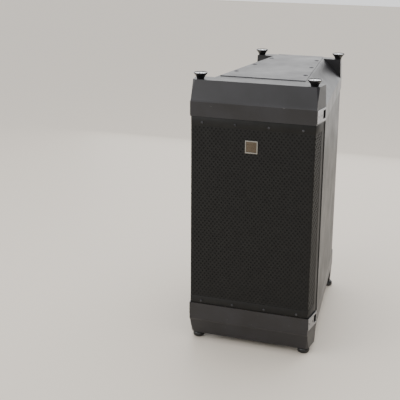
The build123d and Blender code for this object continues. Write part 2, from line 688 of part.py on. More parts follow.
for side_name, side in (("left", -1), ("right", 1)):
    with BuildPart() as port_tube:
        turned_y(side * PORT_X, PORT_Z, ring(PORT_RADIUS, PORT_RADIUS + 8, -4, 0))
        turned_y(side * PORT_X, PORT_Z, ring(PORT_RADIUS, PORT_RADIUS + 3, 0, PORT_LENGTH))
    finish(port_tube, f"port_tube_{side_name}")

# ---------------------------------------------------------------- crossover
BOARD_Z = INSIDE_LOW + 10
with BuildPart() as crossover_board:
    block((-100, 110, BOARD_Z), (100, 270, BOARD_Z + 2))
    for x in (-90, 90):
        for y in (120, 260):
            turned((x, y, INSIDE_LOW), (0, 0, 1), ring(0, 4, 0, 10))
finish(crossover_board, "crossover_board")

with BuildPart() as crossover_components:
    for x, y, radius in ((-55, 160, 34), (30, 150, 28)):  # two toroidal inductors
        turned((x, y, BOARD_Z + 2), (0, 0, 1), ring(12, radius, 0, 26))
    for y in (205, 230, 255):  # three capacitors lying on the board
        with Locations(Location((30, y, BOARD_Z + 12.2), (0, 90, 0))):
            Cylinder(10, 46)
finish(crossover_components, "crossover_components")

# ---------------------------------------------------------------- rear fittings
with BuildPart() as input_plate:
    wide, tall = [size / 2 for size in INPUT_PLATE]
    block((-wide, BACK_Y, INPUT_Z - tall), (wide, BACK_Y + INPUT_SHEET, INPUT_Z + tall))
    for x in SOCKET_X:
        turned((x, BACK_Y, INPUT_Z), (0, 1, 0), ring(0, SOCKET_RADIUS + 3, -1, 5), Mode.SUBTRACT)
    drill_y(INPUT_SCREWS, BACK_Y, INPUT_SHEET)
finish(input_plate, "input_plate")

for number, x in enumerate(SOCKET_X, start=1):
    with BuildPart() as socket:
        mouth = (x, BACK_Y + INPUT_SHEET, INPUT_Z)
        turned(mouth, (0, 1, 0), ring(SOCKET_RADIUS, SOCKET_RADIUS + 6, 0, 2))
        turned(mouth, (0, 1, 0), ring(SOCKET_RADIUS, SOCKET_RADIUS + 3 - FIT, -24, 0))
        turned(mouth, (0, 1, 0), ring(0, SOCKET_RADIUS + 3 - FIT, -27, -24))
    finish(socket, f"speaker_socket_{number}")

for handle_name, z in zip(("lower", "upper"), HANDLE_Z):
    with BuildPart() as handle:
        wide, tall, deep = HANDLE_DISH[0] / 2, HANDLE_DISH[1] / 2, HANDLE_DISH[2]
        edge, sheet = HANDLE_FLANGE, HANDLE_SHEET
        block((-wide - edge, BACK_Y, z - tall - edge), (wide + edge, BACK_Y + sheet, z + tall + edge))
        block((-wide, BACK_Y - deep, z - tall), (wide, BACK_Y, z + tall))
        block(
            (sheet - wide, BACK_Y - deep + sheet, z - tall + sheet),
            (wide - sheet, BACK_Y + 2 * sheet, z + tall - sheet),
            Mode.SUBTRACT,
        )
        with Locations(Location((0, BACK_Y - GRIP_RADIUS, z + 20), (0, 90, 0))):
            Cylinder(GRIP_RADIUS, 2 * wide - 2)
        drill_y([(x, zz) for x, zz in HANDLE_SCREWS if abs(zz - z) < tall], BACK_Y, sheet)
    finish(handle, f"handle_{handle_name}")

with BuildPart() as rear_screws:
    for x, z in HANDLE_SCREWS:
        screw((x, BACK_Y + HANDLE_SHEET, z), (0, -1, 0), HANDLE_SHEET + 14)
    for x, z in INPUT_SCREWS:
        screw((x, BACK_Y + INPUT_SHEET, z), (0, -1, 0), INPUT_SHEET + 14)
finish(rear_screws, "rear_screws")
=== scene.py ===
import json
from math import atan2, cos, hypot, pi, radians, sin

import bmesh
import bpy
from mathutils import Matrix, Vector


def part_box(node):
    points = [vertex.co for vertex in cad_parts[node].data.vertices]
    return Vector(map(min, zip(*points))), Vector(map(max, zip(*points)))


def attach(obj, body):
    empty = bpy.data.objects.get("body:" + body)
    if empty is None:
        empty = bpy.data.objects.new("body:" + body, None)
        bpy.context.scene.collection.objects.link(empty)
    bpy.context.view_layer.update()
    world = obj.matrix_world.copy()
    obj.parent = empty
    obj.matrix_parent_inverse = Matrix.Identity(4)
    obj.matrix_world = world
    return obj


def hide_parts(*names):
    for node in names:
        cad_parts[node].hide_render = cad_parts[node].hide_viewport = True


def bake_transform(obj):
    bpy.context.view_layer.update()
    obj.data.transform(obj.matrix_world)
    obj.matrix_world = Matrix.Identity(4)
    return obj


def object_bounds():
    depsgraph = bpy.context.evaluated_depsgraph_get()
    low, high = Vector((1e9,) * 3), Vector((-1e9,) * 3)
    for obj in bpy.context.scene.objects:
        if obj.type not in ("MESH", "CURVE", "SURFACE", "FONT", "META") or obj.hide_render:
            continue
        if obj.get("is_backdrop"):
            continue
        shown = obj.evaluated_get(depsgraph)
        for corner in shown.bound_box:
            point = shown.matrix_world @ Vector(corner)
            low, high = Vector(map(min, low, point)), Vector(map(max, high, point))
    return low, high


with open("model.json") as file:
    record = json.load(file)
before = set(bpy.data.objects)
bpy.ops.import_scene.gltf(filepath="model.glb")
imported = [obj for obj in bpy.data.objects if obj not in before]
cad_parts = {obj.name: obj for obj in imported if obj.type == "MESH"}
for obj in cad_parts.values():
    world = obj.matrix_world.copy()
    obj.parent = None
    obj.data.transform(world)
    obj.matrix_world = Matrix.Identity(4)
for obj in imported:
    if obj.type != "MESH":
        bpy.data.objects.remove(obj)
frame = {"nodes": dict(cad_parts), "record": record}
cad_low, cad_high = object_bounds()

# A tall stage loudspeaker, finished for looks on its CAD frame. Metres, +Z up,
# the grille faces -Y and the cabinet stands on the floor at z = 0.

NODES = frame["nodes"]
CORNERS = ("front_left", "front_right", "rear_left", "rear_right")
UP, DOWN, FRONT = (0, 0, 1), (0, 0, -1), (0, -1, 0)
POLE = 0.005  # a turned shape closes to a ring of this radius in mm, which then merges

# ---------------------------------------------------------------- selecting and shaping


def alone(piece):
    """Object mode, with only this piece selected and active."""
    if bpy.context.object and bpy.context.object.mode != "OBJECT":
        bpy.ops.object.mode_set(mode="OBJECT")
    bpy.ops.object.select_all(action="DESELECT")
    if piece:
        piece.select_set(True)
        bpy.context.view_layer.objects.active = piece


def ready():
    """Nothing selected, so that the next primitive is the only thing worked on."""
    alone(None)


def edit(piece):
    alone(piece)
    bpy.ops.object.mode_set(mode="EDIT")


def pick(piece, kind, test):
    """In edit mode, selects the faces, edges or vertices that pass a test."""
    bpy.ops.mesh.select_mode(type=kind)
    bpy.ops.mesh.select_all(action="DESELECT")
    mesh = bmesh.from_edit_mesh(piece.data)
    parts = {"FACE": mesh.faces, "EDGE": mesh.edges, "VERT": mesh.verts}[kind]
    for part in parts:
        if test(part):
            part.select_set(True)
    mesh.select_flush_mode()
    bmesh.update_edit_mesh(piece.data)


def middle(part):
    """Middle of a face or an edge."""
    places = [v.co for v in part.verts]
    return sum(places, Vector()) / len(places)


def apply(piece, kind, **settings):
    """Adds a modifier, sets it and applies it."""
    alone(piece)
    modifier = piece.modifiers.new(kind.title(), kind)
    for name, value in settings.items():
        setattr(modifier, name, value)
    bpy.ops.object.modifier_apply(modifier=modifier.name)


def settle(piece, name, angle=30):
    """Names a piece, puts its place into its mesh and turns its faces outwards."""
    edit(piece)
    bpy.ops.mesh.select_all(action="SELECT")
    bpy.ops.mesh.normals_make_consistent(inside=False)
    alone(piece)
    bpy.ops.object.transform_apply(location=True, rotation=True, scale=True)
    bpy.ops.object.shade_smooth_by_angle(angle=radians(angle))
    piece.name = piece.data.name = name
    return piece


def round_edges(piece, width, segments=3, angle=28):
    apply(
        piece, "BEVEL", width=width, segments=segments, limit_method="ANGLE",
        angle_limit=radians(angle), use_clamp_overlap=True, miter_outer="MITER_ARC",
    )


def moulded(node, width, segments=3, cut=None):
    """Copy of a CAD node with its triangles merged into faces and its edges rounded.

    A face with a hole in it is cut across the hole, along X or Z, so that it fills cleanly.
    """
    piece = bpy.data.objects.new(node + "_moulded", NODES[node].data.copy())
    bpy.context.collection.objects.link(piece)
    piece.data.materials.clear()
    edit(piece)
    bpy.ops.mesh.select_all(action="SELECT")
    bpy.ops.mesh.remove_doubles(threshold=0.00001)
    if cut:
        low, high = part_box(node)
        normal = {"X": (1, 0, 0), "Z": (0, 0, 1)}[cut]
        bpy.ops.mesh.bisect(plane_co=[(a + b) / 2 for a, b in zip(low, high)], plane_no=normal)
        bpy.ops.mesh.mark_seam()
        bpy.ops.mesh.select_all(action="SELECT")
    bpy.ops.mesh.dissolve_limited(angle_limit=radians(0.6), delimit={"NORMAL", "SEAM"})
    alone(piece)
    round_edges(piece, width, segments)
    bpy.ops.object.shade_smooth_by_angle(angle=radians(35))
    # Broad faces keep flat shading right up to their rounded edges.
    apply(piece, "WEIGHTED_NORMAL", mode="FACE_AREA", weight=90, keep_sharp=True)
    return piece


def turned(profile, steps=40):
    """Turned shape at the origin: a ring drawn out and sized at each (radius, height) in mm."""
    ready()
    radius, height = profile[0]
    bpy.ops.mesh.primitive_circle_add(
        vertices=steps, radius=max(radius, POLE) / 1000, location=(0, 0, height / 1000)
    )
    piece = bpy.context.object
    bpy.ops.object.transform_apply(location=True)
    edit(piece)
    bpy.ops.mesh.select_all(action="SELECT")
    for next_radius, next_height in profile[1:]:
        bpy.ops.mesh.extrude_edges_move(
            TRANSFORM_OT_translate={"value": (0, 0, (next_height - height) / 1000)}
        )
        change = max(next_radius, POLE) / max(radius, POLE)
        bpy.ops.transform.resize(value=(change, change, 1), center_override=(0, 0, 0))
        radius, height = next_radius, next_height
    bpy.ops.mesh.select_all(action="SELECT")
    bpy.ops.mesh.remove_doubles(threshold=0.00002)
    alone(piece)
    return piece


def stand(pattern, spots):
    """Copies a pattern, each copy with its own mesh, to (name, place, axis) spots."""
    pieces = []
    for name, place, axis in spots:
        piece = bpy.data.objects.new(name, pattern.data.copy())
        bpy.context.collection.objects.link(piece)
        turn = Vector((0, 0, 1)).rotation_difference(Vector(axis)).to_matrix().to_4x4()
        piece.matrix_world = Matrix.Translation(place) @ turn
        pieces.append(settle(piece, name))
    bpy.data.objects.remove(pattern)
    return pieces


def join(pieces, name):
    """Makes several pieces one object."""
    alone(pieces[0])
    for piece in pieces:
        piece.select_set(True)
    bpy.ops.object.join()
    pieces[0].name = pieces[0].data.name = name
    return pieces[0]


def dress(piece, slot, *nodes):
    """Gives a new piece its finish and its place on the cabinet, and hides the nodes it stands for."""
    piece.data.materials.clear()
    piece.data.materials.append(FINISHES[slot])
    if nodes:
        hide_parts(*nodes)
    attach(piece, "cabinet")
    return piece


# ---------------------------------------------------------------- finishes


def paint(code):
    """Linear colour of an sRGB hex code."""
    parts = [int(code[i:i + 2], 16) / 255 for i in (1, 3, 5)]
    linear = [c / 12.92 if c <= 0.04045 else ((c + 0.055) / 1.055) ** 2.4 for c in parts]
    return (*linear, 1.0)


def add(tree, kind, links=(), **settings):
    """Adds a node, sets its sockets and properties, and links (socket, source) pairs."""
    node = tree.nodes.new("ShaderNode" + kind)
    for name, value in settings.items():
        socket = node.inputs.get(name.replace("_", " ").title().replace("Ior", "IOR"))
        if socket is not None and not hasattr(node, name):
            socket.default_value = value
        else:
            setattr(node, name, value)
    for socket, source in links:
        tree.links.new(source, node.inputs[socket])
    return node


def start(name, **sockets):
    """New material with its shader's constants set, and its object coordinates."""
    material = bpy.data.materials.new(name)
    material.use_nodes = True
    tree = material.node_tree
    shader = tree.nodes["Principled BSDF"]
    for socket, value in sockets.items():
        shader.inputs[socket.replace("_", " ")].default_value = value
    place = tree.nodes.new("ShaderNodeTexCoord").outputs["Object"]
    return material, tree, shader, place


def ramp(tree, source, *stops):
    """Colour ramp with (position, colour) stops."""
    node = add(tree, "ValToRGB", [("Fac", source)])
    elements = node.color_ramp.elements
    while len(elements) < len(stops):
        elements.new(0.5)
    for element, (position, colour) in zip(elements, stops):
        element.position, element.color = position, colour
    return node.outputs["Color"]


def grey(value):
    return (value, value, value, 1.0)


def satin_coating(name, colour, worn, grain_mm, roughness, depth):
    """Sprayed satin coat: fine grain, cloudy sheen, and pale scuffs where it was knocked."""
    material, tree, shader, place = start(name, IOR=1.5)
    # Broad clouds from handling, about 90 mm across.
    cloud = add(tree, "TexNoise", [("Vector", place)], Scale=11.0, Detail=4.0)
    # The grain of the coat itself.
    grain = add(tree, "TexNoise", [("Vector", place)], Scale=1000 / grain_mm, Detail=2.0)
    # Short scuffs, a few millimetres long and mostly level, stretched along X and Y.
    stretch = add(tree, "Mapping", [("Vector", place)], Scale=(1.0, 1.0, 2.6))
    scuff = add(tree, "TexNoise", [("Vector", stretch.outputs[0])], Scale=38.0, Detail=6.0,
                Roughness=0.66)
    marks = ramp(tree, scuff.outputs["Fac"], (0.70, grey(0)), (0.74, grey(1)))
    tone = ramp(tree, cloud.outputs["Fac"], (0.35, paint(colour)), (0.7, paint(worn)))
    mixed = add(tree, "MixRGB", [("Fac", marks), ("Color1", tone)], Color2=paint("#7c7c7e"))
    tree.links.new(mixed.outputs[0], shader.inputs["Base Color"])
    sheen = ramp(tree, cloud.outputs["Fac"], (0.3, grey(roughness - 0.05)), (0.75, grey(roughness + 0.07)))
    tree.links.new(sheen, shader.inputs["Roughness"])
    bump = add(tree, "Bump", [("Height", grain.outputs["Fac"])], Strength=0.35, Distance=depth)
    tree.links.new(bump.outputs[0], shader.inputs["Normal"])
    return material


def plain_grain(name, colour, second, scale_mm, roughness, metallic=0.0, depth=0.0001, **more):
    """Even finish with slight mottling of tone and a fine surface grain."""
    material, tree, shader, place = start(name, Metallic=metallic, Roughness=roughness, **more)
    cloud = add(tree, "TexNoise", [("Vector", place)], Scale=40.0, Detail=3.0)
    tone = ramp(tree, cloud.outputs["Fac"], (0.35, paint(colour)), (0.68, paint(second)))
    tree.links.new(tone, shader.inputs["Base Color"])
    grain = add(tree, "TexNoise", [("Vector", place)], Scale=1000 / scale_mm, Detail=2.0)
    bump = add(tree, "Bump", [("Height", grain.outputs["Fac"])], Strength=0.3, Distance=depth)
    tree.links.new(bump.outputs[0], shader.inputs["Normal"])
    return material


def brushed(name, colour, second, roughness):
    """Brushed metal: level hairlines about 0.4 mm apart."""
    material, tree, shader, place = start(name, Metallic=1.0, Roughness=roughness)
    stretch = add(tree, "Mapping", [("Vector", place)], Scale=(20.0, 20.0, 2500.0))
    lines = add(tree, "TexNoise", [("Vector", stretch.outputs[0])], Scale=1.0, Detail=3.0)
    tone = ramp(tree, lines.outputs["Fac"], (0.3, paint(colour)), (0.7, paint(second)))
    tree.links.new(tone, shader.inputs["Base Color"])
    bump = add(tree, "Bump", [("Height", lines.outputs["Fac"])], Strength=0.2, Distance=0.00005)
    tree.links.new(bump.outputs[0], shader.inputs["Normal"])
    return material


def open_cell_foam():
    """Reticulated polyurethane foam: matt, with dark cells about 1.5 mm across."""
    material, tree, shader, place = start("open_cell_foam", Roughness=0.95, Specular_IOR_Level=0.1)
    cells = add(tree, "TexVoronoi", [("Vector", place)], Scale=650.0)
    tone = ramp(tree, cells.outputs["Distance"], (0.1, paint("#1a1a19")), (0.7, paint("#282827")))
    tree.links.new(tone, shader.inputs["Base Color"])
    bump = add(tree, "Bump", [("Height", cells.outputs["Distance"])], Strength=0.6, Distance=0.0008)
    tree.links.new(bump.outputs[0], shader.inputs["Normal"])
    return material


def birch_plywood():
    """Birch plywood: pale, with long grain along Z and faint veneer bands."""
    material, tree, shader, place = start("birch_plywood", Roughness=0.65)
    stretch = add(tree, "Mapping", [("Vector", place)], Scale=(160.0, 160.0, 9.0))
    grain = add(tree, "TexNoise", [("Vector", stretch.outputs[0])], Scale=1.0, Detail=6.0,
                Distortion=0.4)
    tone = ramp(tree, grain.outputs["Fac"], (0.3, paint("#a98a5e")), (0.7, paint("#d3b98d")))
    tree.links.new(tone, shader.inputs["Base Color"])
    bump = add(tree, "Bump", [("Height", grain.outputs["Fac"])], Strength=0.2, Distance=0.0002)
    tree.links.new(bump.outputs[0], shader.inputs["Normal"])
    return material


FINISHES = {
    # Sprayed polyurethane on sheet steel: a satin black that greys where the room reflects in it.
    "cap_paint": satin_coating("satin_polyurethane_on_steel", "#151416", "#1f1e22", 0.9, 0.38, 0.00012),
    # Enamel on the let-in plates: the same black, a little smoother and brighter.
    "plate_paint": satin_coating("satin_enamel_on_plate", "#171619", "#201f23", 0.7, 0.36, 0.00008),
    # The same coat rolled over plywood: coarser, slightly duller.
    "box_paint": satin_coating("satin_coating_on_plywood", "#111112", "#19191a", 1.6, 0.44, 0.0001),
    # Bare birch plywood inside: the only pale, warm surface.
    "plywood": birch_plywood(),
    # Stained baffle: flat black with hardly any sheen.
    "baffle_paint": plain_grain("matt_black_stain", "#0c0c0c", "#141414", 1.5, 0.8),
    # Powder coat on perforated sheet: low sheen, near black.
    "grille_paint": plain_grain("black_powder_coat", "#090909", "#10100f", 0.5, 0.5, depth=0.00006,
                                Specular_IOR_Level=0.28),
    # Foam behind the grille: matt, and a shade lighter than the sheet that it shows through.
    "foam": open_cell_foam(),
    # Bright zinc on the rigging plates: takes the colour of whatever is near it.
    "pocket_steel": plain_grain("bright_zinc_on_steel", "#85868a", "#9c9da0", 1.0, 0.26, metallic=1.0,
                                depth=0.00004),
    # Black-oxide screws, their heads rubbed: dull grey points on the black.
    "black_screw": plain_grain("rubbed_black_oxide", "#37373a", "#5c5c5f", 0.6, 0.38, metallic=1.0),
    # Zinc-plated bolts and hidden screws: an even, light grey metal.
    "zinc_steel": plain_grain("zinc_plated_steel", "#9b9c9e", "#bfc0c2", 0.8, 0.32, metallic=1.0),
    # Polished dish in each cup: the brightest metal, with sharp reflections.
    "polished_steel": plain_grain("polished_steel", "#c9cacd", "#e4e5e8", 1.2, 0.16, metallic=1.0,
                                  depth=0.00002),
    # Glass-filled nylon cups: deep black with a wet highlight.
    "cup_plastic": plain_grain("gloss_black_nylon", "#0d0d0e", "#151516", 0.7, 0.2, depth=0.00003),
    # Moulded rubber feet: black, with a softer highlight than the cups.
    "foot_rubber": plain_grain("moulded_black_rubber", "#0c0c0d", "#151516", 0.9, 0.22, depth=0.00008),
    # Satin aluminium rim of the badge: a thin, pale square.
    "badge_rim": brushed("satin_aluminium", "#8a8883", "#9a9892", 0.32),
    # Bronze-toned brass slats of the badge: warm and dull.
    "badge_face": brushed("bronze_toned_brass", "#594f43", "#665c4f", 0.45),
    # Cast aluminium basket under black paint: dark grey, faintly rough.
    "cast_frame": plain_grain("black_cast_aluminium", "#1d1d1f", "#29292b", 1.4, 0.5),
    # Sintered ferrite magnet: charcoal grey, matt.
    "ferrite": plain_grain("sintered_ferrite", "#2b2b2e", "#38383c", 0.8, 0.6),
    # Pressed paper pulp: matt black with a fibrous surface.
    "cone_paper": plain_grain("pressed_paper_pulp", "#161615", "#23221f", 1.0, 0.85, depth=0.0003),
    # Doped cloth of the suspension: black with a slight gloss from the dope.
    "surround_cloth": plain_grain("doped_cloth", "#1b1a19", "#262523", 0.6, 0.55, depth=0.0002),
    # Enamelled copper winding: orange metal under varnish.
    "coil_wire": plain_grain("enamelled_copper", "#8a4b2c", "#a9653c", 0.4, 0.3, metallic=1.0),
    # Moulded ABS of the horn and sockets: black, with a soft sheen.
    "horn_plastic": plain_grain("moulded_black_abs", "#121213", "#1b1b1c", 0.8, 0.45),
    # Titanium foil diaphragm: pale grey, satin metal.
    "titanium": plain_grain("titanium_foil", "#8b8d92", "#a7a9ae", 0.9, 0.3, metallic=1.0),
    # Fibre board of the crossover: dark green.
    "circuit_board": plain_grain("green_fibre_board", "#1d4a2b", "#28603a", 0.8, 0.5),
    # Varnished wrap of coils and capacitors: amber brown.
    "component_wrap": plain_grain("varnished_wrap", "#8a5120", "#b8732f", 0.7, 0.35),
    # Powder coat on the input plate and on the inside of the rigging pockets, where its black is also
    # painted shade in the hole: black, fine and even.
    "plate_steel": satin_coating("satin_powder_coat_on_steel", "#161617", "#1e1e20", 0.6, 0.4, 0.00006),
}
for part in frame["record"]["subparts"]:
    node = NODES[part["node"]]
    if not node.material_slots:
        node.data.materials.append(None)
    for place in node.material_slots:
        place.material = FINISHES[part["material_slot"]]

# ---------------------------------------------------------------- caps, panels and plates
for node, edge in (("top_cap", 0.0035), ("bottom_cap", 0.0035)):
    dress(moulded(node, edge), "cap_paint", node)
for node in ("roof_plate", "base_plate"):
    dress(moulded(node, 0.0007, 2), "plate_paint", node)
for node in ("side_panel_left", "side_panel_right"):
    dress(moulded(node, 0.0012, 2), "box_paint", node)
dress(moulded("back_panel", 0.0012, 2, "X"), "box_paint", "back_panel")
dress(moulded("input_plate", 0.0008, 2), "plate_steel", "input_plate")
for node in ("speaker_socket_1", "speaker_socket_2"):
    dress(moulded(node, 0.0006, 2), "horn_plastic", node)
# The sides flare outwards by 13 mm over 96.5 mm of depth behind the front corners.
FLARE = (0.0130, 0.0965)
POCKET_RISE = {"top": 0.933, "bottom": 0.133}
PLATE_SCREW_SETBACK = (0.018, 0.050)  # along the flare, from the front corner
SLEEVE_SETBACK = 0.0024  # whatever lies this far behind a pocket's plate is its sleeve
FRONT_CORNER = 0.237  # half width of the cabinet where the flare starts
SCREW_SEAT = 0.0021  # the plate screws are seated this far out from the front corner's side


def pocket(level, side):
    """Rigging pocket: a bright plate round a sleeve coloured black, partly its own black and partly
    painted shade in the hole, with two countersunk screws.
    """
    node, way = f"rigging_pocket_{level}_{side}", 1 if side == "right" else -1
    piece = dress(moulded(node, 0.0006, 2, "Z"), "pocket_steel", node)
    piece.data.materials.append(FINISHES["plate_steel"])
    run = Vector((way * FLARE[0], FLARE[1], 0)).normalized()
    out = Vector((way * run.y, -abs(run.x), 0))
    face = max(v.co.dot(out) for v in piece.data.vertices)
    edit(piece)
    # The faces inside the pocket take the black coat: the sleeve's own black, and painted shade in the
    # hole.
    pick(piece, "FACE", lambda f: f.calc_center_median().dot(out) < face - SLEEVE_SETBACK)
    piece.active_material_index = 1
    bpy.ops.object.material_slot_assign()
    alone(piece)
    corner = Vector((way * FRONT_CORNER, cad_low[1], POCKET_RISE[level])) + out * SCREW_SEAT
    heads = stand(turned([
        (0.0, -0.5), (1.5, -0.5), (1.9, 0.2), (3.2, 0.25), (3.6, 0.1), (3.7, -0.4), (0.0, -0.6),
    ], 18), [("screw", corner + run * back, out) for back in PLATE_SCREW_SETBACK])
    dress(join(heads, f"pocket_screws_{level}_{side}"), "black_screw")


for level in POCKET_RISE:
    for side in ("left", "right"):
        pocket(level, side)

# ---------------------------------------------------------------- perforated grille
low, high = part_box("grille")
SHEET = 0.0014
GRILLE_FRONT, GRILLE_END = low[1], high[1]
GRILLE_LOW, GRILLE_HIGH = low[2], high[2]
TURN = atan2(FLARE[1], FLARE[0])
FRONT_HALF = 0.2344  # half width of the grille's front
BEND_STEP = 0.0025
BEND_START = FRONT_HALF - 0.00323
RETURN = (GRILLE_END - GRILLE_FRONT) * hypot(*FLARE) / FLARE[1]
PITCH, ROW = 0.0160, 0.00975  # between holes along a row, and between rows
HOLE = 0.0036  # radius of a hole
END_GAP = 0.0032  # the margins stop this far short of the full folded width
UPPER_EDGE, LOWER_EDGE = 0.871, 0.191  # between the solid margins of the grille


def fold_round_sides(piece):
    """Folds a flat sheet on the front plane back along both sides, over a small radius."""
    edit(piece)
    for side in (-1, 1):
        for step in range(3):
            bpy.ops.mesh.select_all(action="SELECT")
            bpy.ops.mesh.bisect(
                plane_co=(side * (BEND_START + step * BEND_STEP), 0, 0), plane_no=(1, 0, 0)
            )
        for step in reversed(range(3)):
            line = BEND_START + step * BEND_STEP
            pick(piece, "VERT", lambda v: v.co.x * side > line + 0.000005)
            bpy.ops.transform.rotate(
                value=-side * TURN / 3, orient_axis="Z",
                center_override=(side * line, GRILLE_FRONT, 0),
            )
    alone(piece)


def flat_strip(low_z, high_z, start_x, end_x, front):
    """Flat sheet standing on the front plane."""
    ready()
    bpy.ops.mesh.primitive_plane_add(size=1, rotation=(pi / 2, 0, 0))
    piece = bpy.context.object
    piece.scale = (end_x - start_x, high_z - low_z, 1)
    piece.location = ((start_x + end_x) / 2, front, (low_z + high_z) / 2)
    bpy.ops.object.transform_apply(location=True, rotation=True, scale=True)
    return piece


def perforated_sheet():
    """Sheet with round holes in staggered rows: one hole is modelled and repeated."""
    ready()
    bpy.ops.mesh.primitive_grid_add(x_subdivisions=2, y_subdivisions=1, size=1)
    piece = bpy.context.object
    piece.scale = (PITCH, ROW, 1)
    bpy.ops.object.transform_apply(location=True, rotation=True, scale=True)
    edit(piece)
    bpy.ops.mesh.select_all(action="SELECT")
    bpy.ops.mesh.delete(type="ONLY_FACE")
    pick(piece, "EDGE", lambda e: abs(middle(e).x) < 1e-6 and abs(middle(e).y) < 1e-6)
    bpy.ops.mesh.delete(type="EDGE")
    bpy.ops.mesh.primitive_circle_add(vertices=12, radius=HOLE, fill_type="NOTHING")
    pick(piece, "EDGE", lambda e: True)
    bpy.ops.mesh.bridge_edge_loops()
    alone(piece)
    columns = 2 * int((FRONT_HALF + RETURN) / PITCH + 2)
    rows = 2 * int((UPPER_EDGE - LOWER_EDGE) / ROW / 2 + 2)
    apply(piece, "ARRAY", count=columns, use_relative_offset=False, use_constant_offset=True,
          constant_offset_displace=(PITCH, 0, 0), use_merge_vertices=True, merge_threshold=1e-5)
    apply(piece, "ARRAY", count=2, use_relative_offset=False, use_constant_offset=True,
          constant_offset_displace=(PITCH / 2, ROW, 0), use_merge_vertices=True,
          merge_threshold=1e-5)
    apply(piece, "ARRAY", count=rows // 2, use_relative_offset=False, use_constant_offset=True,
          constant_offset_displace=(0, 2 * ROW, 0), use_merge_vertices=True, merge_threshold=1e-5)
    piece.rotation_euler = (pi / 2, 0, 0)
    piece.location = (-(columns - 1) * PITCH / 2, GRILLE_FRONT, LOWER_EDGE - ROW)
    bpy.ops.object.transform_apply(location=True, rotation=True, scale=True)
    edit(piece)
    reach = BEND_START + 2 * BEND_STEP + RETURN - 0.0035
    for place, normal in (
        ((reach, 0, 0), (1, 0, 0)), ((-reach, 0, 0), (-1, 0, 0)),
        ((0, 0, UPPER_EDGE + 0.004), (0, 0, 1)), ((0, 0, LOWER_EDGE - 0.004), (0, 0, -1)),
    ):
        bpy.ops.mesh.select_all(action="SELECT")
        bpy.ops.mesh.bisect(plane_co=place, plane_no=normal, clear_outer=True)
    fold_round_sides(piece)
    apply(piece, "SOLIDIFY", thickness=SHEET, offset=-1)
    return settle(piece, "grille_perforated_sheet")


def grille_margin(name, low_z, high_z, start_x, end_x):
    """Solid margin of the grille, folded with it and standing a little proud."""
    piece = flat_strip(low_z, high_z, start_x, end_x, GRILLE_FRONT - 0.0003)
    fold_round_sides(piece)
    apply(piece, "SOLIDIFY", thickness=SHEET + 0.0009, offset=-1)
    round_edges(piece, 0.0005, 2, 60)
    return settle(piece, name)


side_reach = BEND_START + 2 * BEND_STEP + RETURN - END_GAP
dress(perforated_sheet(), "grille_paint", "grille")
# Thin acoustic skin glued to the back of the sheet: the dark that shows through its holes.
cloth = flat_strip(LOWER_EDGE - 0.006, UPPER_EDGE + 0.006, -side_reach, side_reach, GRILLE_FRONT + 0.00142)
fold_round_sides(cloth)
apply(cloth, "SOLIDIFY", thickness=0.0002, offset=-1)
dress(settle(cloth, "grille_backing_cloth"), "foam")
for name, low_z, high_z in (
    ("grille_margin_upper", UPPER_EDGE, GRILLE_HIGH), ("grille_margin_lower", GRILLE_LOW, LOWER_EDGE),
):
    dress(grille_margin(name, low_z, high_z, -side_reach, side_reach), "grille_paint")
for name, side in (("grille_margin_left", -1), ("grille_margin_right", 1)):
    ends = sorted((side * (side_reach - 0.009), side * side_reach))
    dress(grille_margin(name, LOWER_EDGE, UPPER_EDGE, *ends), "grille_paint")

# ---------------------------------------------------------------- stacking cups and feet


def under(node):
    """Middle of a node's underside."""
    low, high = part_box(node)
    return ((low[0] + high[0]) / 2, (low[1] + high[1]) / 2, low[2])


cups = stand(turned([
    (5.1, 0.3), (13.4, 0), (14.0, 0.4), (14.2, 1.6), (14.9, 4.5), (16.6, 7.6), (20.2, 12.6),
    (24.4, 18.0), (25.6, 19.4), (26.3, 20.4), (26.5, 21.4), (26.2, 22.4), (25.5, 22.95),
    (24.6, 22.8), (23.6, 21.6), (23.0, 20.2), (22.0, 20.0), (5.1, 20.0), (5.1, 0.3),
], 48), [(f"cup_{corner}_turned", under("cup_" + corner), UP) for corner in CORNERS])
dishes = stand(turned([
    (5.1, 20.05), (22.8, 20.05), (22.9, 20.6), (22.4, 21.1), (19.0, 21.0), (12.0, 20.7),
    (7.9, 20.75), (5.1, 21.0), (5.1, 20.05),
], 48), [("cup_dish_" + corner, under("cup_" + corner), UP) for corner in CORNERS])
feet = stand(turned([
    (7.5, 0.2), (8.2, 0), (18.0, 0), (19.4, 0.5), (21.6, 2.0), (22.9, 4.2), (23.5, 7.0),
    (23.5, 10.4), (22.9, 11.0), (22.9, 11.8), (23.4, 12.4), (23.1, 15.2), (21.8, 18.0),
    (19.4, 20.2), (16.2, 22.4), (15.5, 23.0), (5.1, 23.0), (5.1, 9.0), (7.5, 9.0), (7.5, 0.2),
], 48), [(f"foot_{corner}_turned", under("foot_" + corner), UP) for corner in CORNERS])
for corner, cup, dish, foot in zip(CORNERS, cups, dishes, feet):
    dress(cup, "cup_plastic", "cup_" + corner)
    dress(dish, "polished_steel")
    dress(foot, "foot_rubber", "foot_" + corner)
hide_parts("cup_dishes")

# ---------------------------------------------------------------- badge
low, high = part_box("badge_frame")
badge_x, badge_z = (low[0] + high[0]) / 2, (low[2] + high[2]) / 2
half = (high[0] - low[0]) / 2


def badge_rim():
    """Square rim: a plane is inset for its opening, thickened and rounded."""
    piece = flat_strip(badge_z - half, badge_z + half, badge_x - half, badge_x + half, low[1] + 0.0001)
    edit(piece)
    pick(piece, "FACE", lambda f: True)
    bpy.ops.mesh.inset(thickness=0.0045, depth=0)
    bpy.ops.mesh.delete(type="FACE")
    apply(piece, "SOLIDIFY", thickness=0.0029, offset=-1)
    round_edges(piece, 0.0008, 3)
    return settle(piece, "badge_rim_pressed")


